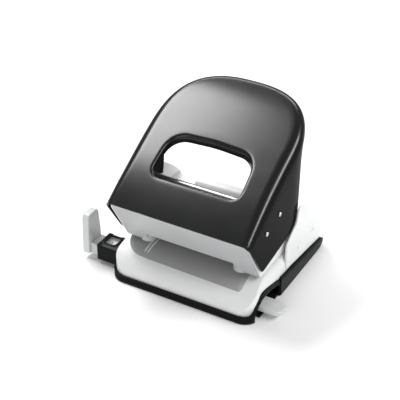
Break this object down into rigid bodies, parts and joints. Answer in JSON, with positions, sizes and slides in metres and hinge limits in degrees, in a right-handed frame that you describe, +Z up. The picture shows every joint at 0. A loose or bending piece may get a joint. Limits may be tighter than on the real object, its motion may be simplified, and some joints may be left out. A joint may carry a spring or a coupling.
{
  "type": "hole punch",
  "caption": "Metal desk punch with a hooded lever handle, paired sprung punches, a sliding paper guide and a chip tray with a hinged lid.",
  "frame": {"origin": "on the underside that rests on the desk, on the centre line, in the middle of the tray's front strip, 18 mm behind the front edge", "axes": "+X to the operator's right along the row of holes, +Y away from the operator towards the handle's free end, +Z up"},
  "size_m": [0.1732, 0.1305, 0.1325],
  "materials": {
    "black_paint": "satin black enamel on pressed steel",
    "pale_paint": "satin off-white enamel on pressed steel",
    "black_plastic": "fine-grained moulded black plastic",
    "pale_plastic": "smooth moulded light grey plastic",
    "steel": "bright turned and drawn steel",
    "clear": "clear moulded window",
    "label": "white printed strip"
  },
  "bodies": {
    "base": {"chip_tray": "black_plastic", "lid_hinge_pin": "steel", "body_shell": "pale_paint", "rear_housing": "pale_paint", "rear_cover": "pale_paint", "head_frame": "pale_paint", "pivot_axle": "steel", "guide_block": "black_plastic", "format_lens": "clear", "cheek_left": "pale_paint", "guide_bush_left": "steel", "die_left": "steel", "head_screw_left": "steel", "axle_clip_left": "steel", "housing_rivet_left_1": "steel", "housing_rivet_left_2": "steel", "cheek_right": "pale_paint", "guide_bush_right": "steel", "die_right": "steel", "head_screw_right": "steel", "axle_clip_right": "steel", "housing_rivet_right_1": "steel", "housing_rivet_right_2": "steel"},
    "handle": {"handle_shell": "black_paint", "press_rod": "steel"},
    "punch_left": {"punch_pin_left": "steel", "spring_washer_left": "steel", "return_spring_left": "steel"},
    "punch_right": {"punch_pin_right": "steel", "spring_washer_right": "steel", "return_spring_right": "steel"},
    "guide": {"guide_bar": "pale_plastic", "format_scale": "label"},
    "lid": {"tray_lid": "black_plastic"}
  },
  "joints": [
    {"name": "handle_hinge", "type": "hinge", "parent": "base", "child": "handle", "pos_m": [0, 0.0055, 0.0696], "axis": [-1, 0, 0], "range_deg": [0, 24], "stiffness_Nm_per_rad": 2, "springref_deg": -11.46},
    {"name": "punch_left_stroke", "type": "slide", "parent": "base", "child": "punch_left", "axis": [0, 0, -1], "range_m": [0, 0.0088], "deforming": ["return_spring_left"]},
    {"name": "punch_right_stroke", "type": "slide", "parent": "base", "child": "punch_right", "axis": [0, 0, -1], "range_m": [0, 0.0088], "deforming": ["return_spring_right"]},
    {"name": "guide_slide", "type": "slide", "parent": "base", "child": "guide", "axis": [-1, 0, 0], "range_m": [0, 0.085]},
    {"name": "lid_hinge", "type": "hinge", "parent": "base", "child": "lid", "pos_m": [0, 0.1, 0.0034], "axis": [1, 0, 0], "range_deg": [0, 75]}
  ],
  "couplings": [
    {"joint": "punch_left_stroke", "follows": "handle_hinge", "m_per_rad": 0.021},
    {"joint": "punch_right_stroke", "follows": "handle_hinge", "m_per_rad": 0.021}
  ]
}
